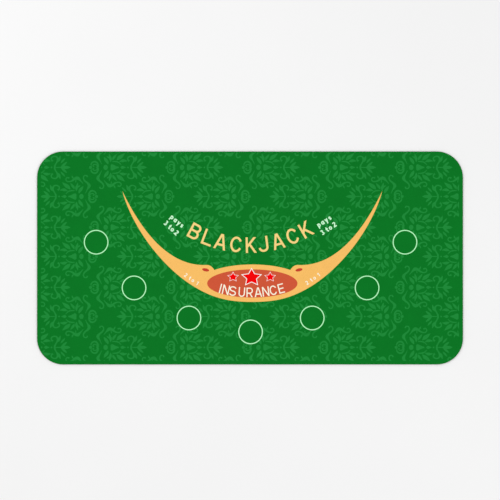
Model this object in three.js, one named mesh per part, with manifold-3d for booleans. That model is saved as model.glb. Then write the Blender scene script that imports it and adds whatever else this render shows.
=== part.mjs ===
// A roll-out blackjack layout: a flexible mat of printed cloth bonded to rubber, laid flat.
// Millimetres, +Z up. X runs along the mat, +Y points to the dealer's side, and the players
// sit along -Y. The origin is the middle of the underside, on the surface the mat lies on.
import * as THREE from 'three';
import { mergeVertices } from 'three/addons/utils/BufferGeometryUtils.js';
import Module from 'manifold-3d';

const wasm = await Module();
wasm.setup();

// Driving dimensions.
const MAT_LENGTH = 1200;
const MAT_WIDTH = 600;
const CORNER_RADIUS = 73;
const RUBBER_THICKNESS = 2.5;
const FILM_THICKNESS = 0.125;
const FILM_INSET = 1;
const CLOTH_THICKNESS = 0.375;
const INK_THICKNESS = 0.125;

// The print is built up in coats: each coat lies on the one below it.
const CLOTH_TOP = RUBBER_THICKNESS + FILM_THICKNESS + CLOTH_THICKNESS;
const FIRST_COAT = CLOTH_TOP;
const SECOND_COAT = FIRST_COAT + INK_THICKNESS;
const THIRD_COAT = SECOND_COAT + INK_THICKNESS;
const FOURTH_COAT = THIRD_COAT + INK_THICKNESS;

// Betting rings: one for each of seven seats, the middle one and three pairs.
const RINGS_CENTRE_X = 1.6;
const RING_RADIUS = 33.3;
const RING_LINE = 2.8;
const MIDDLE_SEAT_Y = -208.3;
const PAIRED_SEATS = [
  { x: 173.7, y: -169.1 },
  { x: 328.4, y: -84.3 },
  { x: 435.2, y: 44.5 },
];

// Crescent banner, about its own centre line.
const BANNER_CENTRE_X = 6.5;
const BANNER_TIP = { x: 366.5, y: 189 };
const BANNER_BOTTOM_Y = -123.8;
const BANNER_HORN = { x: 128, y: -19.8 };
const FRAME_HALF_LENGTH = 153;
const FRAME_HALF_HEIGHT = 54.7;
const FRAME_CENTRE_Y = -73;
const OVAL_CENTRE_Y = -71.8;
const OVAL_HALF_LENGTH = 127.2;
const OVAL_HALF_HEIGHT = 39.7;
const NOTCH_X = 107;
const NOTCH_PULL = { x: 115.5, y: -19.8 };
// Each half of the lower edge is two curves, in line with each other where they join, and each
// half of the upper edge is one. A curve has two pull points, in the order that it is drawn.
const LOWER_JOINT = { x: 150, y: -89 };
const LOWER_PULLS = [{ x: 68, y: BANNER_BOTTOM_Y }, { x: 106.4, y: -112.3 }];
const ARM_PULLS = [{ x: 244, y: -38.6 }, { x: 337, y: 80 }];
const UPPER_PULLS = [{ x: 313, y: 77 }, { x: 235.5, y: -25.5 }];

// Stars on the oval, each a red star on a larger white one.
const STARS_CENTRE_X = 4.5;
const STAR_WAIST = 0.5;
const STAR_STRETCH = 1.13;
const BIG_STAR = { y: -54.8, outlineRadius: 27.6, fillRadius: 23.4 };
const SMALL_STAR = { x: 52.3, y: -53.5, outlineRadius: 15.2, fillRadius: 12.9 };

// Lettering. Heights are cap heights and pens are stroke widths. A word on an arc stands on a
// circle whose middle is above it, and its spacing is the gap between letters at half height.
const GAME_WORD = {
  name: 'game_name', text: 'BLACKJACK', arcX: -4.2, arcY: 355.9, radius: 341.5, turn: 1.12,
  height: 44, pen: 6, spacing: 10,
  kerns: { BL: 1.1, LA: -3.7, AC: 0.3, CK: 0.3, KJ: -5.7, JA: 1.8 },
};
const SIDE_BET_WORD = {
  name: 'side_bet', text: 'INSURANCE', arcX: 2.4, arcY: 234.5, radius: 345, turn: 0.48,
  height: 27, pen: 3.2, spacing: 4.3, kerns: { NS: -3.8, SU: 2.6, AN: -2.6, NC: -2.4 },
};
const PAYOUT_TYPE = { height: 14.8, pen: 3.3, kerns: { ' 2': -2.4 } };
const PAYOUT_PHRASES = [
  { name: 'pays_left', text: 'pays', x: -209.9, y: 98.5, degrees: -40, spacing: 3.4 },
  { name: 'three_to_two_left', text: '3 to 2', x: -227, y: 79.5, degrees: -43, spacing: 2.4 },
  { name: 'pays_right', text: 'pays', x: 212.5, y: 97.7, degrees: 33, spacing: 3.4 },
  { name: 'three_to_two_right', text: '3 to 2', x: 224.8, y: 76.9, degrees: 33.5, spacing: 2.4 },
];
const ODDS_TYPE = { height: 11.5, pen: 2, kerns: {}, spacing: 4.4 };
const ODDS_PHRASES = [
  { name: 'two_to_one_left', text: '2 to 1', x: -168.4, y: -63.9, degrees: -35 },
  { name: 'two_to_one_right', text: '2 to 1', x: 179.6, y: -63.7, degrees: 35 },
];

// How finely round shapes are cut into straight sides.
const CORNER_SIDES = 14;
const RING_SIDES = 44;
const BANNER_SIDES = 22;
const OVAL_SIDES = 64;
const ARC_TURN = 15;

const RUBBER = ink(0x1b1c1d, 0.95);
const FILM = ink(0xd8d6cc, 0.6);
const CLOTH = ink(0x0e7526, 0.9);
const GOLD = ink(0xf6c16b, 0.85);
const TERRACOTTA = ink(0xca5538, 0.85);
const WHITE = ink(0xfffdf8, 0.85);
const CREAM = ink(0xfff0c8, 0.85);
const RED = ink(0xf40508, 0.8);

function ink(colour, roughness) {
  return new THREE.MeshStandardMaterial({ color: colour, roughness, metalness: 0 });
}

// A flat outline raised to a thickness, with its underside at a height.
function slab(name, outline, height, thickness, material, sides) {
  const options = { depth: thickness, bevelEnabled: false, curveSegments: sides };
  const mesh = new THREE.Mesh(new THREE.ExtrudeGeometry(outline, options), material);
  mesh.name = name;
  mesh.position.z = height;
  return mesh;
}

// ---- the laminate ----

function roundedRectangle(length, width, radius) {
  const x = length / 2 - radius;
  const y = width / 2 - radius;
  const shape = new THREE.Shape();
  shape.absarc(x, y, radius, 0, Math.PI / 2);
  shape.absarc(-x, y, radius, Math.PI / 2, Math.PI);
  shape.absarc(-x, -y, radius, Math.PI, 1.5 * Math.PI);
  shape.absarc(x, -y, radius, 1.5 * Math.PI, 2 * Math.PI);
  return shape;
}

function addLayers(group) {
  const whole = roundedRectangle(MAT_LENGTH, MAT_WIDTH, CORNER_RADIUS);
  const inset = roundedRectangle(
    MAT_LENGTH - 2 * FILM_INSET, MAT_WIDTH - 2 * FILM_INSET, CORNER_RADIUS - FILM_INSET);
  const clothHeight = RUBBER_THICKNESS + FILM_THICKNESS;
  group.add(slab('rubber_base', whole, 0, RUBBER_THICKNESS, RUBBER, CORNER_SIDES));
  group.add(slab('bond_film', inset, RUBBER_THICKNESS, FILM_THICKNESS, FILM, CORNER_SIDES));
  group.add(slab('face_cloth', whole, clothHeight, CLOTH_THICKNESS, CLOTH, CORNER_SIDES));
}

// ---- printed shapes ----

function addRings(group) {
  const outline = new THREE.Shape();
  outline.absarc(0, 0, RING_RADIUS + RING_LINE / 2, 0, 2 * Math.PI);
  const hole = new THREE.Path();
  hole.absarc(0, 0, RING_RADIUS - RING_LINE / 2, 0, 2 * Math.PI);
  outline.holes.push(hole);

  const seats = [{ x: 0, y: MIDDLE_SEAT_Y }];
  for (const seat of PAIRED_SEATS) {
    seats.push({ x: -seat.x, y: seat.y });
    seats.push(seat);
  }
  seats.sort((one, other) => one.x - other.x);
  seats.forEach((seat, index) => {
    const name = `betting_ring_${index + 1}`;
    const ring = slab(name, outline, FIRST_COAT, INK_THICKNESS, WHITE, RING_SIDES);
    ring.position.x = RINGS_CENTRE_X + seat.x;
    ring.position.y = seat.y;
    group.add(ring);
  });
}

// The crescent runs from its lowest point out to one tip, back along its upper edge to the
// horn, over the oval's frame and the same way on the other side.
function bannerOutline() {
  const tip = BANNER_TIP;
  const horn = BANNER_HORN;
  const joint = LOWER_JOINT;
  const [low, below] = LOWER_PULLS;
  const [past, outer] = ARM_PULLS;
  const [inner, high] = UPPER_PULLS;
  const notchAngle = Math.acos(NOTCH_X / FRAME_HALF_LENGTH);
  const notchY = FRAME_CENTRE_Y + FRAME_HALF_HEIGHT * Math.sin(notchAngle);
  const shape = new THREE.Shape();
  shape.moveTo(0, BANNER_BOTTOM_Y);
  shape.bezierCurveTo(low.x, low.y, below.x, below.y, joint.x, joint.y);
  shape.bezierCurveTo(past.x, past.y, outer.x, outer.y, tip.x, tip.y);
  shape.bezierCurveTo(inner.x, inner.y, high.x, high.y, horn.x, horn.y);
  shape.quadraticCurveTo(NOTCH_PULL.x, NOTCH_PULL.y, NOTCH_X, notchY);
  shape.absellipse(
    0, FRAME_CENTRE_Y, FRAME_HALF_LENGTH, FRAME_HALF_HEIGHT, notchAngle, Math.PI - notchAngle);
  shape.quadraticCurveTo(-NOTCH_PULL.x, NOTCH_PULL.y, -horn.x, horn.y);
  shape.bezierCurveTo(-high.x, high.y, -inner.x, inner.y, -tip.x, tip.y);
  shape.bezierCurveTo(-outer.x, outer.y, -past.x, past.y, -joint.x, joint.y);
  shape.bezierCurveTo(-below.x, below.y, -low.x, low.y, 0, BANNER_BOTTOM_Y);
  return shape;
}

function addBanner(group) {
  const banner = slab(
    'crescent_banner', bannerOutline(), FIRST_COAT, INK_THICKNESS, GOLD, BANNER_SIDES);
  banner.position.x = BANNER_CENTRE_X;
  group.add(banner);

  const oval = new THREE.Shape();
  oval.absellipse(0, 0, OVAL_HALF_LENGTH, OVAL_HALF_HEIGHT, 0, 2 * Math.PI);
  const panel = slab('side_bet_oval', oval, SECOND_COAT, INK_THICKNESS, TERRACOTTA, OVAL_SIDES);
  panel.position.x = BANNER_CENTRE_X;
  panel.position.y = OVAL_CENTRE_Y;
  group.add(panel);
}

function starOutline(radius) {
  const shape = new THREE.Shape();
  for (let corner = 0; corner < 10; corner += 1) {
    const angle = Math.PI / 2 + (corner * Math.PI) / 5;
    const reach = corner % 2 === 0 ? radius : radius * STAR_WAIST;
    const point = [STAR_STRETCH * reach * Math.cos(angle), reach * Math.sin(angle)];
    if (corner === 0) {
      shape.moveTo(...point);
    } else {
      shape.lineTo(...point);
    }
  }
  return shape;
}

function addStar(group, name, x, y, star) {
  const outline = slab(
    `${name}_outline`, starOutline(star.outlineRadius), THIRD_COAT, INK_THICKNESS, WHITE, 1);
  const fill = slab(
    `${name}_fill`, starOutline(star.fillRadius), FOURTH_COAT, INK_THICKNESS, RED, 1);
  for (const mesh of [outline, fill]) {
    mesh.position.x = x;
    mesh.position.y = y;
    group.add(mesh);
  }
}

function addStars(group) {
  addStar(group, 'star_middle', STARS_CENTRE_X, BIG_STAR.y, BIG_STAR);
  addStar(group, 'star_left', STARS_CENTRE_X - SMALL_STAR.x, SMALL_STAR.y, SMALL_STAR);
  addStar(group, 'star_right', STARS_CENTRE_X + SMALL_STAR.x, SMALL_STAR.y, SMALL_STAR);
}

// ---- plain stroke lettering ----
// A letter is one unit tall and its strokes are lists of points along the pen's middle. Strokes
// that lean run past the letter's top and foot, and are trimmed flat there.

function line(x0, y0, x1, y1) {
  return [[x0, y0], [x1, y1]];
}

// Part of an ellipse, from one angle to another in degrees.
function arc(x, y, radiusX, radiusY, from, to) {
  const steps = Math.ceil(Math.abs(to - from) / ARC_TURN);
  const points = [];
  for (let step = 0; step <= steps; step += 1) {
    const angle = THREE.MathUtils.degToRad(from + ((to - from) * step) / steps);
    points.push([x + radiusX * Math.cos(angle), y + radiusY * Math.sin(angle)]);
  }
  return points;
}

// A bowl like those of B and R: out from the stem, round and back.
function bowl(stem, right, low, high) {
  const radius = (high - low) / 2;
  const turn = arc(right - radius, low + radius, radius, radius, 90, -90);
  return [[stem, high], ...turn, [stem, low]];
}

// A closed round letter, as two halves that overlap a little.
function loop(x, y, radiusX, radiusY) {
  return [arc(x, y, radiusX, radiusY, -10, 190), arc(x, y, radiusX, radiusY, 170, 370)];
}

// The double curve of an S, between two heights.
function snake(width, low, high, half) {
  const radiusX = width / 2 - half;
  const radiusY = (high - low) / 4;
  const upper = arc(width / 2, high - radiusY, radiusX, radiusY, 20, 270);
  const lower = arc(width / 2, low + radiusY, radiusX, radiusY, 90, -160);
  return [...upper, ...lower.slice(1)];
}

// Each letter's width, and its strokes for a pen whose half width is given.
const LOWER_TOP = 0.7;
const DESCENT = -0.28;
const LETTERS = {
  A: { width: 0.76, strokes: (h) => [
    line(h - 0.04, -0.1, 0.36 + h / 2, 1.1),
    line(0.8 - h, -0.1, 0.4 - h / 2, 1.1),
    line(0.2, 0.27 + h / 2, 0.56, 0.27 + h / 2),
  ] },
  B: { width: 0.7, strokes: (h) => [
    line(h, 0, h, 1),
    bowl(h, 0.67 - h, 0.53, 1 - h),
    bowl(h, 0.7 - h, h, 0.53),
  ] },
  C: { width: 0.76, strokes: (h) => [
    arc(0.38, 0.5, 0.38 - h, 0.5 - h, 30, 330),
  ] },
  E: { width: 0.6, strokes: (h) => [
    line(h, 0, h, 1),
    line(h, h, 0.6, h),
    line(h, 0.5, 0.55, 0.5),
    line(h, 1 - h, 0.6, 1 - h),
  ] },
  I: { width: 0.16, strokes: () => [
    line(0.08, 0, 0.08, 1),
  ] },
  J: { width: 0.64, strokes: (h) => [
    [[0.64 - h, 1], ...arc(0.32, 0.3, 0.32 - h, 0.3 - h, 0, -175)],
  ] },
  K: { width: 0.7, strokes: (h) => [
    line(h, 0, h, 1),
    line(h, 0.36, 0.7 - h, 1.06),
    line(0.27, 0.52, 0.76 - h, -0.1),
  ] },
  L: { width: 0.67, strokes: (h) => [
    line(h, 0, h, 1),
    line(h, h, 0.67, h),
  ] },
  N: { width: 0.7, strokes: (h) => [
    line(h, 0, h, 1),
    line(h - 0.05, 1.1, 0.75 - h, -0.1),
    line(0.7 - h, 0, 0.7 - h, 1),
  ] },
  R: { width: 0.68, strokes: (h) => [
    line(h, 0, h, 1),
    bowl(h, 0.67 - h, 0.42, 1 - h),
    line(0.32, 0.46, 0.72 - h, -0.1),
  ] },
  S: { width: 0.72, strokes: (h) => [
    snake(0.72, h, 1 - h, h),
  ] },
  U: { width: 0.66, strokes: (h) => [
    [[h, 1], ...arc(0.33, 0.33, 0.33 - h, 0.33 - h, 180, 360), [0.66 - h, 1]],
  ] },
  a: { width: 0.6, top: LOWER_TOP, strokes: (h) => [
    ...loop(0.3, LOWER_TOP / 2, 0.3 - h, LOWER_TOP / 2 - h),
    line(0.6 - h, 0, 0.6 - h, LOWER_TOP),
  ] },
  o: { width: 0.62, top: LOWER_TOP, strokes: (h) => [
    ...loop(0.31, LOWER_TOP / 2, 0.31 - h, LOWER_TOP / 2 - h),
  ] },
  p: { width: 0.6, foot: DESCENT, top: LOWER_TOP, strokes: (h) => [
    ...loop(0.3, LOWER_TOP / 2, 0.3 - h, LOWER_TOP / 2 - h),
    line(h, DESCENT, h, LOWER_TOP),
  ] },
  s: { width: 0.5, top: LOWER_TOP, strokes: (h) => [
    snake(0.5, h, LOWER_TOP - h, h),
  ] },
  t: { width: 0.46, strokes: (h) => [
    [[0.2, 0.95], [0.2, 0.28], [0.28, h], [0.46, h]],
    line(0, LOWER_TOP - h, 0.44, LOWER_TOP - h),
  ] },
  y: { width: 0.62, foot: DESCENT, top: LOWER_TOP, strokes: (h) => [
    line(h - 0.03, LOWER_TOP + 0.1, 0.34, 0),
    line(0.65 - h, LOWER_TOP + 0.1, 0.22, DESCENT - 0.1),
  ] },
  1: { width: 0.4, strokes: (h) => [
    line(0.4 - h, 0, 0.4 - h, 1),
    line(0.02, 0.72, 0.4 - h, 1 - h),
  ] },
  2: { width: 0.62, strokes: (h) => [
    [...arc(0.31, 0.72, 0.31 - h, 0.28 - h, 165, -25), [h, h]],
    line(0, h, 0.62, h),
  ] },
  3: { width: 0.62, strokes: (h) => [
    arc(0.29, 0.76, 0.27 - h, 0.24 - h, 155, -100),
    arc(0.31, 0.28, 0.31 - h, 0.28 - h, 100, -155),
  ] },
};
const WORD_SPACE = 0.35;

// The outline of a pen stroke: its points moved to one side, then back along the other side.
function strokeOutline(points, width) {
  const sides = [];
  for (const side of [1, -1]) {
    const edge = points.map((point, index) => {
      const before = points[Math.max(index - 1, 0)];
      const after = points[Math.min(index + 1, points.length - 1)];
      const inward = unit(before, index > 0 ? point : after);
      const outward = unit(index < points.length - 1 ? point : before, after);
      const middle = unit([0, 0], [inward[0] + outward[0], inward[1] + outward[1]]);
      const cosine = middle[0] * inward[0] + middle[1] * inward[1];
      const reach = (side * width) / 2 / cosine;
      return [point[0] - middle[1] * reach, point[1] + middle[0] * reach];
    });
    sides.push(edge);
  }
  return [...sides[0], ...sides[1].reverse()];
}

function unit(start, end) {
  const x = end[0] - start[0];
  const y = end[1] - start[1];
  const length = Math.hypot(x, y);
  return [x / length, y / length];
}

// A closed prism over an outline, as a solid that can be joined and trimmed.
function prism(points, thickness) {
  const shape = new THREE.Shape(points.map(([x, y]) => new THREE.Vector2(x, y)));
  const geometry = new THREE.ExtrudeGeometry(shape, { depth: thickness, bevelEnabled: false });
  geometry.deleteAttribute('normal');
  geometry.deleteAttribute('uv');
  const merged = mergeVertices(geometry);
  return new wasm.Manifold(new wasm.Mesh({
    numProp: 3,
    vertProperties: merged.attributes.position.array,
    triVerts: new Uint32Array(merged.index.array),
  }));
}

function letterGeometry(letter, height, pen) {
  const scaled = (points) => points.map(([x, y]) => [x * height, y * height]);
  const strokes = letter.strokes(pen / height / 2);
  let solid = null;
  for (const stroke of strokes) {
    const piece = prism(strokeOutline(scaled(stroke), pen), INK_THICKNESS);
    solid = solid ? solid.add(piece) : piece;
  }
  const foot = (letter.foot ?? 0) * height;
  const top = (letter.top ?? 1) * height;
  const band = prism([[-height, foot], [2 * height, foot], [2 * height, top], [-height, top]],
    INK_THICKNESS);
  const mesh = solid.intersect(band).getMesh();
  const geometry = new THREE.BufferGeometry();
  geometry.setAttribute('position', new THREE.BufferAttribute(mesh.vertProperties, 3));
  geometry.setIndex(new THREE.BufferAttribute(mesh.triVerts, 1));
  geometry.translate((-letter.width * height) / 2, 0, 0);
  return geometry;
}

function addLetter(group, name, character, height, pen, place, coat, material) {
  const mesh = new THREE.Mesh(letterGeometry(LETTERS[character], height, pen), material);
  mesh.name = name;
  mesh.position.set(place.x, place.y, coat);
  mesh.rotation.z = place.angle;
  group.add(mesh);
}

// How far along a line of text the middle of each letter is, with the line's middle at 0.
function letterPlaces(text, height, spacing, kerns) {
  const places = [];
  let along = 0;
  [...text].forEach((character, index) => {
    if (character === ' ') {
      along += WORD_SPACE * height;
      return;
    }
    const width = LETTERS[character].width * height;
    along += kerns[text.slice(index - 1, index + 1)] ?? 0;
    places.push({ character, along: along + width / 2 });
    along += width + spacing;
  });
  const middle = (along - spacing) / 2;
  return places.map((place) => ({ ...place, along: place.along - middle }));
}

function addArcWord(group, word, coat, material) {
  const places = letterPlaces(word.text, word.height, word.spacing, word.kerns);
  places.forEach(({ character, along }, index) => {
    const middleRadius = word.radius - word.height / 2;
    const angle = along / middleRadius + THREE.MathUtils.degToRad(word.turn);
    const x = word.arcX + word.radius * Math.sin(angle);
    const y = word.arcY - word.radius * Math.cos(angle);
    const name = `${word.name}_${index + 1}_${character}`;
    addLetter(group, name, character, word.height, word.pen, { x, y, angle }, coat, material);
  });
}

// A short phrase on a straight line, its middle at x and y on the letters' feet.
function addPhrase(group, phrase, coat, material) {
  const angle = THREE.MathUtils.degToRad(phrase.degrees);
  const places = letterPlaces(phrase.text, phrase.height, phrase.spacing, phrase.kerns);
  places.forEach(({ character, along }, index) => {
    const x = phrase.x + along * Math.cos(angle);
    const y = phrase.y + along * Math.sin(angle);
    const name = `${phrase.name}_${index + 1}_${character}`;
    addLetter(group, name, character, phrase.height, phrase.pen, { x, y, angle }, coat, material);
  });
}

// ---- the whole mat ----

const mat = new THREE.Group();
addLayers(mat);
addRings(mat);
addBanner(mat);
addStars(mat);
addArcWord(mat, GAME_WORD, FIRST_COAT, GOLD);
addArcWord(mat, SIDE_BET_WORD, THIRD_COAT, WHITE);
for (const phrase of PAYOUT_PHRASES) {
  addPhrase(mat, { ...PAYOUT_TYPE, ...phrase }, FIRST_COAT, WHITE);
}
for (const phrase of ODDS_PHRASES) {
  addPhrase(mat, { ...ODDS_TYPE, ...phrase }, SECOND_COAT, CREAM);
}

export default mat;
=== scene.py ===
"""The finished look of a roll-out blackjack layout mat, built round its CAD frame.

Three sheets lie on each other: a rubber base, a bond film and a knitted face cloth. A damask
pattern is dyed into the cloth, and the game's banner, oval, stars, rings and words are printed
on it. All of them follow one shared height, so the layers never cut through each other.
Lengths are in millimetres until a mesh is made, which is in metres.
"""

import math

import bmesh
import bpy
import numpy as np
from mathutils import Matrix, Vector
from mathutils.geometry import delaunay_2d_cdt


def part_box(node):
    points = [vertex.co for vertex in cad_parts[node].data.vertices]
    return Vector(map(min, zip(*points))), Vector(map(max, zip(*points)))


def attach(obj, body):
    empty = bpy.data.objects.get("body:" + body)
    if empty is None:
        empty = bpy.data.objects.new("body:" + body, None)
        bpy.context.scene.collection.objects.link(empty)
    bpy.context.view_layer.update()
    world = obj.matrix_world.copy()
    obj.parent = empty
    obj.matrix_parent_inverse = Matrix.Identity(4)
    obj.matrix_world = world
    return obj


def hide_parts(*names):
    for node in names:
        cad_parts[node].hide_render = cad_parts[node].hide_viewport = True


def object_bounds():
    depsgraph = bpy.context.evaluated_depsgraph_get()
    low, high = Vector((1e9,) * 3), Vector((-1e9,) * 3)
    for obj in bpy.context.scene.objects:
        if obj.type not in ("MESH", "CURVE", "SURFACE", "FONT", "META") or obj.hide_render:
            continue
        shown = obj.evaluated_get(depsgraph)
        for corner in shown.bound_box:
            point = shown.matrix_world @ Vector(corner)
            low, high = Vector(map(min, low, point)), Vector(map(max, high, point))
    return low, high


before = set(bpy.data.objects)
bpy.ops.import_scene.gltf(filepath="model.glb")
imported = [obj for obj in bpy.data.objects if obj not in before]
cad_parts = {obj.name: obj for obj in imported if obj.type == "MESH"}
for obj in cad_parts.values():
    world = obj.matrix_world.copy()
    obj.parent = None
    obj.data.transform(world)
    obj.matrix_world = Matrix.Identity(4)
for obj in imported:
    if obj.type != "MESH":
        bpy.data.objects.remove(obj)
cad_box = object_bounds()

MM = 0.001
MAT_HALF_LENGTH = 600.0
CORNER_RADIUS = 73.0
RING_LINE = 2.8
GRID = 12.0  # how finely the faces are cut, so that each sheet can bend

# ---- how the mat lies ----

WAVE_HEIGHT = 0.09
WAVE_LENGTH_X = 61.0
WAVE_LENGTH_Y = 53.0
WAVE_START_X = 0.8
WAVE_START_Y = 0.4
END_LIFT = 0.8  # the ends remember having been rolled
END_LIFT_STARTS = 440.0
END_LIFT_REACH = 160.0


def rise(x, y):
    """How far the laid mat stands off the floor at a place."""
    across = math.sin(x / WAVE_LENGTH_X + WAVE_START_X)
    waves = WAVE_HEIGHT * (1 + across * math.cos(y / WAVE_LENGTH_Y + WAVE_START_Y))
    past = max(0.0, (abs(x) - END_LIFT_STARTS) / END_LIFT_REACH)
    return waves + END_LIFT * past * past


def place(x, y, z):
    return (x * MM, y * MM, (z + rise(x, y)) * MM)


# ---- outlines ----

CORNER_STEPS = 16
CIRCLE_STEPS = 36


def polar(x, y, radius, degrees):
    angle = math.radians(degrees)
    return (x + radius * math.cos(angle), y + radius * math.sin(angle))


def along(start, end, most):
    """Points from start up to but not including end, no further apart than most."""
    count = max(1, math.ceil(math.dist(start, end) / most))
    return [
        (start[0] + (end[0] - start[0]) * i / count, start[1] + (end[1] - start[1]) * i / count)
        for i in range(count)
    ]


def rounded_rectangle(half_x, half_y, radius):
    """Counter-clockwise, with its straight sides cut up as finely as the grid."""
    centres = [
        (half_x - radius, radius - half_y, -90),
        (half_x - radius, half_y - radius, 0),
        (radius - half_x, half_y - radius, 90),
        (radius - half_x, radius - half_y, 180),
    ]
    arcs = [
        [polar(x, y, radius, start + 90 * i / CORNER_STEPS) for i in range(CORNER_STEPS + 1)]
        for x, y, start in centres
    ]
    points = []
    for arc, following in zip(arcs, arcs[1:] + arcs[:1]):
        points += arc[:-1] + along(arc[-1], following[0], GRID)
    return points


def ellipse(x, y, half_length, half_width, tilt, steps=28):
    points = []
    for i in range(steps):
        u, v = polar(0, 0, 1, 360 * i / steps)
        reach = math.hypot(half_length * u, half_width * v)
        turn = math.degrees(math.atan2(half_width * v, half_length * u))
        points.append(polar(x, y, reach, turn + tilt))
    return points


def inside(x, y, outline):
    """Which of the points lie inside an outline, as an array of true and false."""
    result = np.zeros(len(x), bool)
    for (x0, y0), (x1, y1) in zip(outline, outline[1:] + outline[:1]):
        if y0 == y1:
            continue
        crosses = (y0 > y) != (y1 > y)
        result ^= crosses & (x < x0 + (y - y0) * (x1 - x0) / (y1 - y0))
    return result


def clipped(shape, border):
    """The part of a shape inside a convex, counter-clockwise border."""
    for (ax, ay), (bx, by) in zip(border, border[1:] + border[:1]):
        side = [(bx - ax) * (y - ay) - (by - ay) * (x - ax) for x, y in shape]
        if min(side, default=0) >= 0:
            continue
        kept = []
        for i, point in enumerate(shape):
            before, here = side[i - 1], side[i]
            if (before < 0) != (here < 0):
                t = before / (before - here)
                last = shape[i - 1]
                kept.append((last[0] + (point[0] - last[0]) * t, last[1] + (point[1] - last[1]) * t))
            if here >= 0:
                kept.append(point)
        shape = kept
    return shape


# ---- the damask pattern: one motif, pointing along +x, repeated and mirrored ----

REPEAT_X = 215.35
REPEAT_Y = 169.07
FIRST_RIGHT = (-588.3, -251.9)  # the middle of one motif that points right
FIRST_LEFT = (-509.1, -333.9)  # and of one that points left
COLUMNS = range(-1, 7)
ROWS = range(5)
STROKE_STEPS = 3
FINEST_STROKE = 0.5


def ribbon(points, widths):
    """The outline of a stroke along points, with its width at each."""
    left = []
    right = []
    for i, (x, y) in enumerate(points):
        before = points[max(i - 1, 0)]
        after = points[min(i + 1, len(points) - 1)]
        dx, dy = after[0] - before[0], after[1] - before[1]
        reach = widths[i] / 2 / math.hypot(dx, dy)
        left.append((x - dy * reach, y + dx * reach))
        right.append((x + dy * reach, y - dx * reach))
    return right + left[::-1]


def stroke(*marks):
    """A brush stroke through marks of (x, y, width), smoothly joined."""
    ends = [marks[0], *marks, marks[-1]]
    smooth = []
    for a, b, c, d in zip(ends, ends[1:], ends[2:], ends[3:]):
        for i in range(STROKE_STEPS):
            t = i / STROKE_STEPS
            smooth.append([
                b[k] + t * ((c[k] - a[k]) + t * (2 * a[k] - 5 * b[k] + 4 * c[k] - d[k]
                + t * (3 * b[k] - a[k] - 3 * c[k] + d[k]))) / 2
                for k in range(3)
            ])
    smooth.append(marks[-1])
    return ribbon([(x, y) for x, y, width in smooth], [max(width, FINEST_STROKE) for x, y, width in smooth])


def bead(x, half_length, half_width):
    return ellipse(x, 0, half_length, half_width, 0, steps=12)


def upper_half():
    return [
        # the ring at the tail, and the curl in it
        stroke((-54, 2, 2.6), (-56, 10, 4), (-62, 16, 5), (-70, 15, 4), (-75, 9, 3.6), (-74, 5, 2)),
        stroke((-56, 4, 4), (-61, 8, 3), (-67, 8, 3), (-70, 4, 3), (-66, 2.5, 2)),
        # the side scroll
        stroke((-45, 9, 1.5), (-50, 19, 3), (-56, 30, 9), (-51, 38, 5.5), (-44, 43.5, 4.6), (-39.5, 51, 3.8),
               (-42, 58.5, 3.4), (-49, 59, 3.4), (-50.5, 54.5, 4.5)),
        # the fan of petals
        stroke((-27, 9, 2), (-29, 15, 7.5), (-34, 22, 8), (-39, 29, 1)),
        stroke((-20, 15, 1), (-20, 23, 7.5), (-22, 30, 6.5), (-24, 39, 1)),
        stroke((-24, 25, 1), (-27.5, 29, 4), (-31, 31, 1)),
        stroke((-14, 20, 1), (-12, 26, 6.5), (-8, 31, 6), (-3, 37.5, 1)),
        stroke((-3, 20, 1), (4, 27, 10.5), (11, 32, 9), (20, 39.5, 1)),
        stroke((5, 16, 1), (13, 18.5, 8), (19, 19, 6.5), (27, 17.5, 1)),
        # the line round the bell
        stroke((-15, 16.5, 2), (-6, 16.5, 3.6), (3, 14, 3.4), (10, 7, 1.6)),
        # the arch over the fan, which ends in a curl
        stroke((-39, 36, 1.5), (-32, 44, 3.6), (-24, 51.5, 9.5), (-16, 50.5, 7), (-9, 45, 5), (-1, 42, 3.6),
               (6, 42.5, 3.2), (10, 48, 3.2), (6, 53.5, 3.6), (0, 51.5, 4.5)),
        stroke((-19, 47, 1), (-18, 43, 3), (-18, 39, 1)),
        stroke((-12, 50, 1), (-9, 54, 4.2), (-7, 59, 1)),
        # the neck, its curl and leaves
        stroke((38, 4, 5), (41, 10, 3.6), (45, 17, 4.5), (46, 25, 5), (42, 30.5, 4), (35, 31, 3.6),
               (29, 27.5, 3.6), (28.5, 22, 3.6), (32.5, 17.5, 6)),
        stroke((44, 14, 1), (49, 21, 8.5), (52, 27, 5.5), (54, 33, 1)),
        stroke((55, 12, 1), (59, 17, 5), (63, 21, 4.5), (67, 26, 1)),
        stroke((58, 3, 4), (65, 9, 6.5), (72, 15, 2)),
    ]


def motif():
    above = upper_half()
    below = [[(x, -y) for x, y in reversed(shape)] for shape in above]
    middle = [
        bead(-76.5, 4.4, 4.4),
        bead(-57, 3.4, 4.2),
        bead(-34, 6.4, 7.4),
        stroke((-20, 0, 13), (-16, 0, 18), (-10, 0, 13), (-4, 0, 7), (3, 0, 3.5)),
        stroke((8, 0, 2), (13, 0, 9), (17, 0, 6), (23, 0, 1)),
        bead(29, 2.4, 2.4),
        bead(38, 2.8, 6.8),
        stroke((41, 0, 2), (49, 0, 2.8), (56, 0, 2)),
        stroke((54, 0, 3), (60, 0, 11), (66, 0, 9), (74, 0, 8), (82, 0, 1)),
    ]
    return above + below + middle


PATTERN_INSET_X = 11.0
PATTERN_INSET_TOP = 3.0
PATTERN_INSET_BOTTOM = 10.0
CORNER_GAP = 1.5


def pattern_border(half_x, half_y):
    """The part of the cloth that takes the dye: the whole sheet less its plain edges."""
    sheet = rounded_rectangle(half_x - CORNER_GAP, half_y - CORNER_GAP, CORNER_RADIUS - CORNER_GAP)
    left, right = PATTERN_INSET_X - half_x, half_x - PATTERN_INSET_X
    low, high = PATTERN_INSET_BOTTOM - half_y, half_y - PATTERN_INSET_TOP
    return clipped(sheet, [(left, low), (right, low), (right, high), (left, high)])


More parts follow.
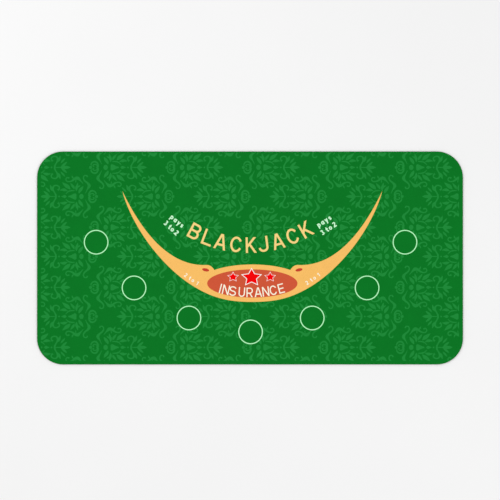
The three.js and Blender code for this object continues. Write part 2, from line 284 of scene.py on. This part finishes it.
def damask(half_x, half_y):
    """Every shape of the pattern that lies on the cloth."""
    border = pattern_border(half_x, half_y)
    one = motif()
    shapes = []
    for (x, y), way in ((FIRST_RIGHT, 1), (FIRST_LEFT, -1)):
        for column in COLUMNS:
            for row in ROWS:
                middle_x, middle_y = x + REPEAT_X * column, y + REPEAT_Y * row
                for shape in one:
                    moved = [(middle_x + way * u, middle_y + v) for u, v in shape[::way]]
                    moved = clipped(moved, border)
                    if len(moved) > 2:
                        shapes.append(moved)
    return shapes


def ring_circles():
    """A circle under each betting ring's line: the cloth inside a ring is plain."""
    circles = []
    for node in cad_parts:
        if node.startswith("betting_ring"):
            low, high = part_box(node)
            reach = (high[0] - low[0]) / 2 / MM - RING_LINE / 2
            middle_x, middle_y = (low[0] + high[0]) / 2 / MM, (low[1] + high[1]) / 2 / MM
            circles.append(ellipse(middle_x, middle_y, reach, reach, 0, CIRCLE_STEPS))
    return circles


# ---- meshes ----

FILL_INSIDE = 1  # the triangulation's way that keeps only what lies inside the outline
SAME_POINT = 0.01
EDGE_CLEARANCE = 4.0  # between a sheet's edge and the points that let it bend
MERGE_WITHIN = 0.002
CUT_SNAP = 0.0005
SHARP_ANGLE = 35


def grid_points(half_x, half_y, outline):
    columns = np.arange(-half_x, half_x, GRID) + GRID / 2
    rows = np.arange(-half_y, half_y, GRID) + GRID / 2
    x, y = (values.ravel() for values in np.meshgrid(columns, rows))
    keep = inside(x, y, outline)
    return list(zip(x[keep], y[keep]))


def filled(outline, shapes=(), loose=()):
    """Triangles that fill an outline, with an edge along every shape's edge."""
    points = [Vector(p) for p in outline]
    edges = []
    for shape in shapes:
        first = len(points)
        points += [Vector(p) for p in shape]
        edges += [(first + i, first + (i + 1) % len(shape)) for i in range(len(shape))]
    points += [Vector(p) for p in loose]
    face = [list(range(len(outline)))]
    result = delaunay_2d_cdt(points, edges, face, FILL_INSIDE, SAME_POINT)
    return [tuple(p) for p in result[0]], [tuple(f) for f in result[2]]


def rim_loop(faces):
    """The points round the edge of a filled outline, counter-clockwise."""
    steps = {}
    for face in faces:
        for a, b in zip(face, face[1:] + face[:1]):
            steps[a, b] = True
    following = {a: b for a, b in steps if (b, a) not in steps}
    first = min(following)
    loop = [first]
    while following[loop[-1]] != first:
        loop.append(following[loop[-1]])
    return loop


def new_object(name, vertices, faces, materials, indexes=None):
    mesh = bpy.data.meshes.new(name)
    mesh.from_pydata([place(*v) for v in vertices], [], faces)
    for material in materials:
        mesh.materials.append(material)
    if indexes is not None:
        mesh.polygons.foreach_set("material_index", indexes)
    mesh.shade_smooth()
    mesh.set_sharp_from_angle(angle=math.radians(SHARP_ANGLE))
    mesh.update()
    made = bpy.data.objects.new(name, mesh)
    bpy.context.scene.collection.objects.link(made)
    return made


def lower_ring(vertices, loop, core, radius, height):
    """Adds the loop's points again, at another height and another distance from the core."""
    ring = []
    for i in loop:
        x, y, _ = vertices[i]
        centre = [max(-c, min(c, p)) for c, p in zip(core, (x, y))]
        away = Vector((x - centre[0], y - centre[1])).normalized()
        ring.append(len(vertices))
        vertices.append((centre[0] + away.x * radius, centre[1] + away.y * radius, height))
    return ring


def walls(rings):
    """The faces between each ring and the one below it."""
    faces = []
    for upper, lower in zip(rings, rings[1:]):
        for i in range(len(upper)):
            faces.append((upper[i - 1], lower[i - 1], lower[i], upper[i]))
    return faces


def underside(vertices, ring, loose, bottom):
    """Adds the points of a sheet's underside and gives its faces, which close the last ring."""
    under = [vertices[i][:2] for i in ring]
    points, faces = filled(under, (), loose)
    known = {(round(x, 3), round(y, 3)): i for (x, y), i in zip(under, ring)}
    numbers = []
    for x, y in points:
        number = known.get((round(x, 3), round(y, 3)))
        if number is None:
            number = len(vertices)
            vertices.append((x, y, bottom))
        numbers.append(number)
    return [tuple(numbers[i] for i in reversed(face)) for face in faces]


def sheet_piece(name, node, profile, materials, shapes=(), gaps=()):
    """A flat sheet with round corners. The profile runs down its edge, and each of its steps has
    how far it is set in and what share of the thickness it lies below the top."""
    low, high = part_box(node)
    half_x, half_y = (high[0] - low[0]) / 2 / MM, (high[1] - low[1]) / 2 / MM
    bottom, top = low[2] / MM, high[2] / MM
    radius = CORNER_RADIUS - (MAT_HALF_LENGTH - half_x)
    core = (half_x - radius, half_y - radius)

    def outline(inset):
        return rounded_rectangle(half_x - inset, half_y - inset, radius - inset)

    loose = grid_points(half_x, half_y, outline(EDGE_CLEARANCE))
    points, faces = filled(outline(profile[0][0]), [*shapes, *gaps], loose)
    indexes = dyed(points, faces, shapes, gaps)
    vertices = [(x, y, top) for x, y in points]
    rings = [rim_loop(faces)]
    for inset, drop in profile[1:]:
        rings.append(lower_ring(vertices, rings[0], core, radius - inset, top - drop * (top - bottom)))
    faces += walls(rings)
    faces += underside(vertices, rings[-1], loose, bottom)
    indexes += [0] * (len(faces) - len(indexes))
    return new_object(name, vertices, faces, materials, indexes)


def dyed(points, faces, shapes, gaps):
    """1 for a face inside any shape and outside every gap, and 0 for the rest."""
    corners = np.array([[points[i] for i in face] for face in faces])
    x, y = corners.mean(axis=1).T
    result = np.zeros(len(faces), int)
    order = np.argsort(x)
    sorted_x = x[order]
    for group, value in ((shapes, 1), (gaps, 0)):
        for shape in group:
            xs, ys = zip(*shape)
            near = order[np.searchsorted(sorted_x, min(xs)):np.searchsorted(sorted_x, max(xs))]
            near = near[(y[near] > min(ys)) & (y[near] < max(ys))]
            result[near[inside(x[near], y[near], shape)]] = value
    return result.tolist()


def cut_up(form, low, high):
    """Cuts faces along the grid's lines between two corners, given in metres."""
    step = GRID * MM
    for axis in (0, 1):
        normal = [float(axis == 0), float(axis == 1), 0.0]
        for i in range(math.ceil(low[axis] / step), math.floor(high[axis] / step) + 1):
            spot = [i * step * part for part in normal]
            geometry = form.verts[:] + form.edges[:] + form.faces[:]
            bmesh.ops.bisect_plane(form, geom=geometry, plane_co=spot, plane_no=normal, dist=CUT_SNAP * MM)


def printed_piece(node, material):
    """A printed area: the CAD node's own solid, cut finely enough to follow the cloth."""
    form = bmesh.new()
    form.from_mesh(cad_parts[node].data)
    bmesh.ops.remove_doubles(form, verts=form.verts, dist=MERGE_WITHIN * MM)
    cut_up(form, *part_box(node))
    bmesh.ops.triangulate(form, faces=[f for f in form.faces if len(f.verts) > 4])
    vertices = [tuple(c / MM for c in v.co) for v in form.verts]
    form.verts.index_update()
    faces = [tuple(v.index for v in f.verts) for f in form.faces]
    form.free()
    return new_object(node + "_print", vertices, faces, [material])


def patch_piece(name, outline, bottom, top, materials):
    """A small printed area that the CAD doesn't have, as a thin closed solid."""
    points, faces = filled(outline)
    loop = rim_loop(faces)
    count = len(points)
    vertices = [(x, y, top) for x, y in points] + [(x, y, bottom) for x, y in points]
    under = [tuple(i + count for i in reversed(face)) for face in faces]
    sides = [(loop[i - 1], loop[i - 1] + count, loop[i] + count, loop[i]) for i in range(len(loop))]
    return new_object(name, vertices, faces + under + sides, materials)


# ---- materials ----


def linear(*colour):
    """A colour given in the usual 0 to 255 steps, as the light it reflects."""
    parts = [c / 255 for c in colour]
    return tuple([p / 12.92 if p <= 0.04045 else ((p + 0.055) / 1.055) ** 2.4 for p in parts] + [1.0])


RIDGE_SCALE = 0.314159  # the scale at which a wave texture has one ridge to the metre


class Finish:
    """A material with one Principled shader, and short ways to add nodes to it."""

    def __init__(self, name, roughness, specular):
        self.material = bpy.data.materials.new(name)
        self.material.use_nodes = True
        self.tree = self.material.node_tree
        self.shader = self.tree.nodes["Principled BSDF"]
        self.shader.inputs["Roughness"].default_value = roughness
        self.shader.inputs["Specular IOR Level"].default_value = specular
        self.place = self.tree.nodes.new("ShaderNodeTexCoord").outputs["Object"]

    def node(self, kind, **inputs):
        made = self.tree.nodes.new(kind)
        for name, value in inputs.items():
            made.inputs[name.replace("_", " ")].default_value = value
        return made

    def link(self, output, socket):
        self.tree.links.new(output, socket)

    def noise(self, size, detail, stretch=(1, 1, 1)):
        """Cloudy variation; size is the width of a cloud in millimetres."""
        mapping = self.node("ShaderNodeMapping", Scale=stretch)
        self.link(self.place, mapping.inputs["Vector"])
        cloud = self.node("ShaderNodeTexNoise", Scale=1 / (size * MM), Detail=detail, Roughness=0.55)
        self.link(mapping.outputs["Vector"], cloud.inputs["Vector"])
        return cloud.outputs["Fac"]

    def threads(self, pitch, direction):
        """Rounded ridges along one direction; pitch in millimetres."""
        wave = self.node("ShaderNodeTexWave", Scale=RIDGE_SCALE / (pitch * MM), Distortion=0.6, Detail=1.0)
        wave.bands_direction = direction
        self.link(self.place, wave.inputs["Vector"])
        return wave.outputs["Fac"]

    def mix(self, factor, first, second):
        blend = self.tree.nodes.new("ShaderNodeMix")
        blend.data_type = "RGBA"
        self.link(factor, blend.inputs[0])
        for socket, value in ((blend.inputs[6], first), (blend.inputs[7], second)):
            if isinstance(value, tuple):
                socket.default_value = value
            else:
                self.link(value, socket)
        return blend.outputs[2]

    def maths(self, operation, first, second):
        made = self.tree.nodes.new("ShaderNodeMath")
        made.operation = operation
        for socket, value in zip(made.inputs, (first, second)):
            if isinstance(value, (int, float)):
                socket.default_value = value
            else:
                self.link(value, socket)
        return made.outputs[0]

    def spread(self, value, low, high, to_low, to_high):
        made = self.node("ShaderNodeMapRange", From_Min=low, From_Max=high, To_Min=to_low, To_Max=to_high)
        self.link(value, made.inputs["Value"])
        return made.outputs["Result"]

    def bump(self, height, depth, strength):
        """Relief on the surface; depth in millimetres."""
        made = self.node("ShaderNodeBump", Strength=strength, Distance=depth * MM)
        self.link(height, made.inputs["Height"])
        self.link(made.outputs["Normal"], self.shader.inputs["Normal"])


def shade(colour, factor):
    """A colour made darker or lighter, and never brighter than white."""
    return tuple([min(c * factor, 1.0) for c in colour[:3]] + [1.0])


CLOUD_LOW = 0.3  # most of a noise texture lies between these
CLOUD_HIGH = 0.7
STITCH_TOP = 0.45
CLOTH_SPECULAR = 0.012
CLOTH_ROUGHNESS = 0.92
DYE_CLOUD = 46  # millimetres
YARN_FLECK = 2.2
FLECK_SHARE = 0.4
KNIT_X = 1.1  # one stitch
KNIT_Y = 1.5
STITCH_DEPTH = 0.16
STITCH_STRENGTH = 0.9
# how much darker the painted shade in the gaps between stitches is
STITCH_SHADE = 0.09
DYE_STRENGTH = 0.985  # sets the dyes and inks to the studio's light
SHEEN = 0.06
SHEEN_ROUGHNESS = 0.45
SHEEN_TINT = (0.75, 0.9, 0.78, 1.0)
ROUGHNESS_SWING = 0.05


def printed_cloth(name, colour, contrast=0.04):
    """Dyed or printed knit: stitches with painted shade in the gaps between them, a fleck from the yarn and
    slow clouds in the dye.
    """
    finish = Finish(name, CLOTH_ROUGHNESS, CLOTH_SPECULAR)
    colour = shade(colour, DYE_STRENGTH)
    clouds = finish.noise(DYE_CLOUD, 3)
    fleck = finish.noise(YARN_FLECK, 2, stretch=(1, 0.35, 1))
    slow = finish.maths("MULTIPLY", clouds, 1 - FLECK_SHARE)
    tone = finish.maths("ADD", slow, finish.maths("MULTIPLY", fleck, FLECK_SHARE))
    tone = finish.spread(tone, CLOUD_LOW, CLOUD_HIGH, 0.0, 1.0)
    tint = finish.mix(tone, shade(colour, 1 - contrast), shade(colour, 1 + contrast))
    # painted shade: the colour in the gaps between stitches, darker by STITCH_SHADE
    gaps = 1 - STITCH_SHADE
    painted_gap_shade = finish.mix(tone, shade(colour, gaps - contrast), shade(colour, gaps + contrast))
    knit = finish.maths("MULTIPLY", finish.threads(KNIT_X, "X"), finish.threads(KNIT_Y, "Y"))
    # the knit's height picks the painted shade low in the gaps and the plain colour on the stitch tops
    height = finish.spread(knit, 0.0, STITCH_TOP, 0.0, 1.0)
    finish.link(finish.mix(height, painted_gap_shade, tint), finish.shader.inputs["Base Color"])
    finish.bump(knit, STITCH_DEPTH, STITCH_STRENGTH)
    low, high = CLOTH_ROUGHNESS - ROUGHNESS_SWING, CLOTH_ROUGHNESS + ROUGHNESS_SWING
    worn = finish.spread(clouds, CLOUD_LOW, CLOUD_HIGH, low, high)
    finish.link(worn, finish.shader.inputs["Roughness"])
    finish.shader.inputs["Sheen Weight"].default_value = SHEEN
    finish.shader.inputs["Sheen Roughness"].default_value = SHEEN_ROUGHNESS
    finish.shader.inputs["Sheen Tint"].default_value = SHEEN_TINT
    return finish.material


RUBBER_GRAIN = 0.7
RUBBER_RIB = 2.4
RUBBER_PATCH = 30
RUBBER_RELIEF = 0.12


def foam_rubber(name):
    """Nearly black rubber with a fine crossed rib, a grain and dusty patches."""
    finish = Finish(name, 0.8, 0.25)
    grain = finish.noise(RUBBER_GRAIN, 3)
    tint = finish.mix(finish.noise(RUBBER_PATCH, 2), linear(24, 25, 26), linear(34, 35, 36))
    finish.link(tint, finish.shader.inputs["Base Color"])
    ribs = finish.maths("MULTIPLY", finish.threads(RUBBER_RIB, "X"), finish.threads(RUBBER_RIB, "Y"))
    finish.bump(finish.maths("ADD", grain, ribs), RUBBER_RELIEF, 0.6)
    return finish.material


FILM_CLOUD = 18
FILM_RIPPLE = 2.5
FILM_RELIEF = 0.02


def bond_film(name):
    """Milky film, a little uneven in colour and slightly rippled."""
    finish = Finish(name, 0.45, 0.4)
    tint = finish.mix(finish.noise(FILM_CLOUD, 2), linear(206, 203, 190), linear(222, 220, 209))
    finish.link(tint, finish.shader.inputs["Base Color"])
    finish.bump(finish.noise(FILM_RIPPLE, 2), FILM_RELIEF, 0.4)
    return finish.material


FLOOR_CLOUD = 400


def pale_floor(name):
    finish = Finish(name, 0.9, 0.1)
    tint = finish.mix(finish.noise(FLOOR_CLOUD, 2), linear(238, 238, 238), linear(241, 241, 241))
    finish.link(tint, finish.shader.inputs["Base Color"])
    return finish.material


CLOTH_GREEN = printed_cloth("cloth_green", linear(12, 118, 37))
CLOTH_LIGHT = printed_cloth("cloth_figure", linear(32, 138, 58))
INKS = {
    "gold": printed_cloth("gold_print", linear(251, 193, 104), 0.03),
    "pale_gold": printed_cloth("pale_gold_print", linear(250, 214, 134), 0.02),
    "terracotta": printed_cloth("terracotta_print", linear(209, 88, 58), 0.04),
    "dark_terracotta": printed_cloth("dark_terracotta_print", linear(198, 66, 46), 0.04),
    "white": printed_cloth("white_print", linear(253, 252, 248), 0.008),
    "thin_white": printed_cloth("thin_white_print", linear(207, 255, 214), 0.01),
    "ring_white": printed_cloth("ring_white_print", linear(186, 255, 196), 0.01),
    "warm_white": printed_cloth("warm_white_print", linear(255, 250, 228), 0.01),
    "cream": printed_cloth("cream_print", linear(255, 249, 228), 0.01),
    "red": printed_cloth("red_print", linear(247, 5, 8), 0.03),
}

# What each printed area is named, the ink it shows and the record's slot for it. The thin
# lines let some of the green below show through, so they look greener than the stars.
PRINTS = (
    ("crescent_banner", "gold", "gold_ink"),
    ("game_name", "pale_gold", "gold_ink"),
    ("side_bet_oval", "terracotta", "terracotta_ink"),
    ("side_bet", "warm_white", "white_ink"),
    ("star_left_outline", "white", "white_ink"),
    ("star_middle_outline", "white", "white_ink"),
    ("star_right_outline", "white", "white_ink"),
    ("star", "red", "red_ink"),
    ("betting_ring", "ring_white", "white_ink"),
    ("pays", "thin_white", "white_ink"),
    ("three_to_two", "thin_white", "white_ink"),
    ("two_to_one", "cream", "cream_ink"),
)

# ---- the pieces ----

RUBBER_EDGE = ((0.35, 0.0), (0.12, 0.03), (0.0, 0.12), (0.0, 0.88), (0.12, 0.97), (0.35, 1.0))
FILM_EDGE = ((0.0, 0.0), (0.0, 1.0))
CLOTH_EDGE = ((0.3, 0.0), (0.12, 0.08), (0.0, 0.45), (0.0, 1.0))


def add_sheets():
    low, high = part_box("face_cloth")
    shapes = damask(high[0] / MM, high[1] / MM)
    rubber = sheet_piece("foam_rubber_sheet", "rubber_base", RUBBER_EDGE, [foam_rubber("foam_rubber")])
    film = sheet_piece("bond_film_sheet", "bond_film", FILM_EDGE, [bond_film("bond_film")])
    greens = [CLOTH_GREEN, CLOTH_LIGHT]
    cloth = sheet_piece("knitted_face_cloth", "face_cloth", CLOTH_EDGE, greens, shapes, ring_circles())
    for piece, node, slot in (
        (rubber, "rubber_base", "rubber"),
        (film, "bond_film", "bond_film"),
        (cloth, "face_cloth", "face_cloth"),
    ):
        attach(piece, "root")
        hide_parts(node)


def add_prints():
    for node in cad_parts:
        found = [(ink, slot) for start, ink, slot in PRINTS if node.startswith(start)]
        if not found:
            continue
        ink, slot = found[0]
        piece = printed_piece(node, INKS[ink])
        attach(piece, "root")
        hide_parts(node)


BANNER_MIDDLE = 6.5
HORN_DOT_X = 131.5  # from the banner's middle
HORN_DOT_Y = -33.5
HORN_DOT_LENGTH = 20.0
HORN_DOT_WIDTH = 8.6
HORN_DOT_TILT = 12.0
COAT = 0.125


def add_horn_dots():
    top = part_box("crescent_banner")[1][2] / MM
    for name, side in (("left", -1), ("right", 1)):
        x = BANNER_MIDDLE + side * HORN_DOT_X
        tilt = side * HORN_DOT_TILT
        outline = ellipse(x, HORN_DOT_Y, HORN_DOT_LENGTH / 2, HORN_DOT_WIDTH / 2, tilt)
        piece = patch_piece("horn_dot_" + name, outline, top, top + COAT, [INKS["dark_terracotta"]])
        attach(piece, "root")


# ---- floor, lights and camera ----


FLOOR_HALF_SIZE = 60.0  # metres, as are the lengths below
FLOOR_DEPTH = 0.0002
LAMP_SIZE = 2.6
VIEW_WIDTH = 1.409  # what the camera sees across the mat's top
CAMERA_Y = 0.0225
LENS = 85  # millimetres, as is the sensor's width
SENSOR = 36


def add_floor():
    size = FLOOR_HALF_SIZE
    corners = [(-size, -size), (size, -size), (size, size), (-size, size)]
    mesh = bpy.data.meshes.new("floor")
    mesh.from_pydata([(x, y, -FLOOR_DEPTH) for x, y in corners], [], [(0, 1, 2, 3)])
    mesh.materials.append(pale_floor("pale_floor"))
    floor = bpy.data.objects.new("floor", mesh)
    bpy.context.scene.collection.objects.link(floor)


def add_light(name, spot, power):
    lamp = bpy.data.lights.new(name, "AREA")
    lamp.shape = "DISK"
    lamp.size = LAMP_SIZE
    lamp.energy = power
    made = bpy.data.objects.new(name, lamp)
    made.location = spot
    made.rotation_euler = (-Vector(spot)).to_track_quat("-Z", "Y").to_euler()
    bpy.context.scene.collection.objects.link(made)


def add_world(strength):
    world = bpy.data.worlds.new("studio")
    world.use_nodes = True
    background = world.node_tree.nodes["Background"]
    background.inputs["Color"].default_value = (1, 1, 1, 1)
    background.inputs["Strength"].default_value = strength
    bpy.context.scene.world = world


def add_camera():
    """Straight above the mat, as far away as the lens needs to see the view's width."""
    lens = bpy.data.cameras.new("camera")
    lens.lens = LENS
    lens.sensor_width = SENSOR
    camera = bpy.data.objects.new("camera", lens)
    camera.location = (0, CAMERA_Y, VIEW_WIDTH * LENS / SENSOR + cad_box[1][2])
    bpy.context.scene.collection.objects.link(camera)
    bpy.context.scene.camera = camera


add_sheets()
add_prints()
add_horn_dots()
add_floor()
add_world(strength=0.72)
add_light("key", spot=(-2.4, 1.6, 3.4), power=59)
add_light("fill", spot=(2.6, -1.8, 3.2), power=40)
add_camera()
bpy.context.scene.view_settings.view_transform = "Standard"
